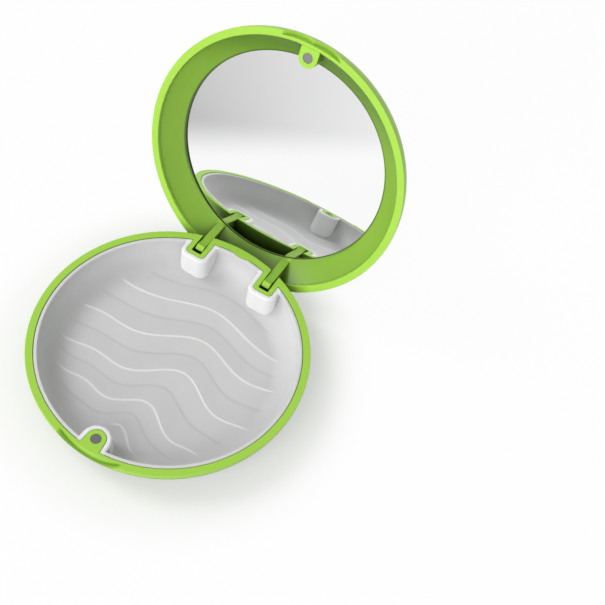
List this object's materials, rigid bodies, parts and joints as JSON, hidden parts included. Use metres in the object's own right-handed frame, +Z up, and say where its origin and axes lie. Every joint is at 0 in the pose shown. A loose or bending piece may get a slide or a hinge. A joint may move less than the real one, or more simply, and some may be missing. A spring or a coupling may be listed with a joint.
{
  "type": "orthodontic retainer case",
  "caption": "Round two-part retainer case with a soft grey tray in the base and a magnet-closed hinged lid that carries a mirror inside.",
  "frame": {"origin": "centre of the flat foot under the base", "axes": "+Z up from the foot, -Y towards the finger notch, +Y towards the hinge, +X along the hinge axis"},
  "size_m": [0.084, 0.1162, 0.0806],
  "materials": {
    "green_shell": "satin lime green moulding",
    "green_frame": "smooth lime green moulding",
    "tray_silicone": "matt pale grey silicone",
    "magnet_steel": "plated magnet face",
    "pin_steel": "plain steel",
    "mirror_face": "acrylic mirror",
    "pad_foam": "adhesive foam"
  },
  "bodies": {
    "base": {"base_shell": "green_shell", "liner_tray": "tray_silicone", "base_magnet": "magnet_steel", "left_hinge_pin": "pin_steel", "right_hinge_pin": "pin_steel"},
    "lid": {"lid_shell": "green_shell", "lid_frame": "green_frame", "mirror": "mirror_face", "mirror_pad": "pad_foam", "lid_magnet": "magnet_steel"}
  },
  "joints": [
    {"name": "lid_hinge", "type": "hinge", "parent": "base", "child": "lid", "pos_m": [0, 0.0369, 0.0082], "axis": [1, 0, 0], "range_deg": [0, 110.6]}
  ]
}
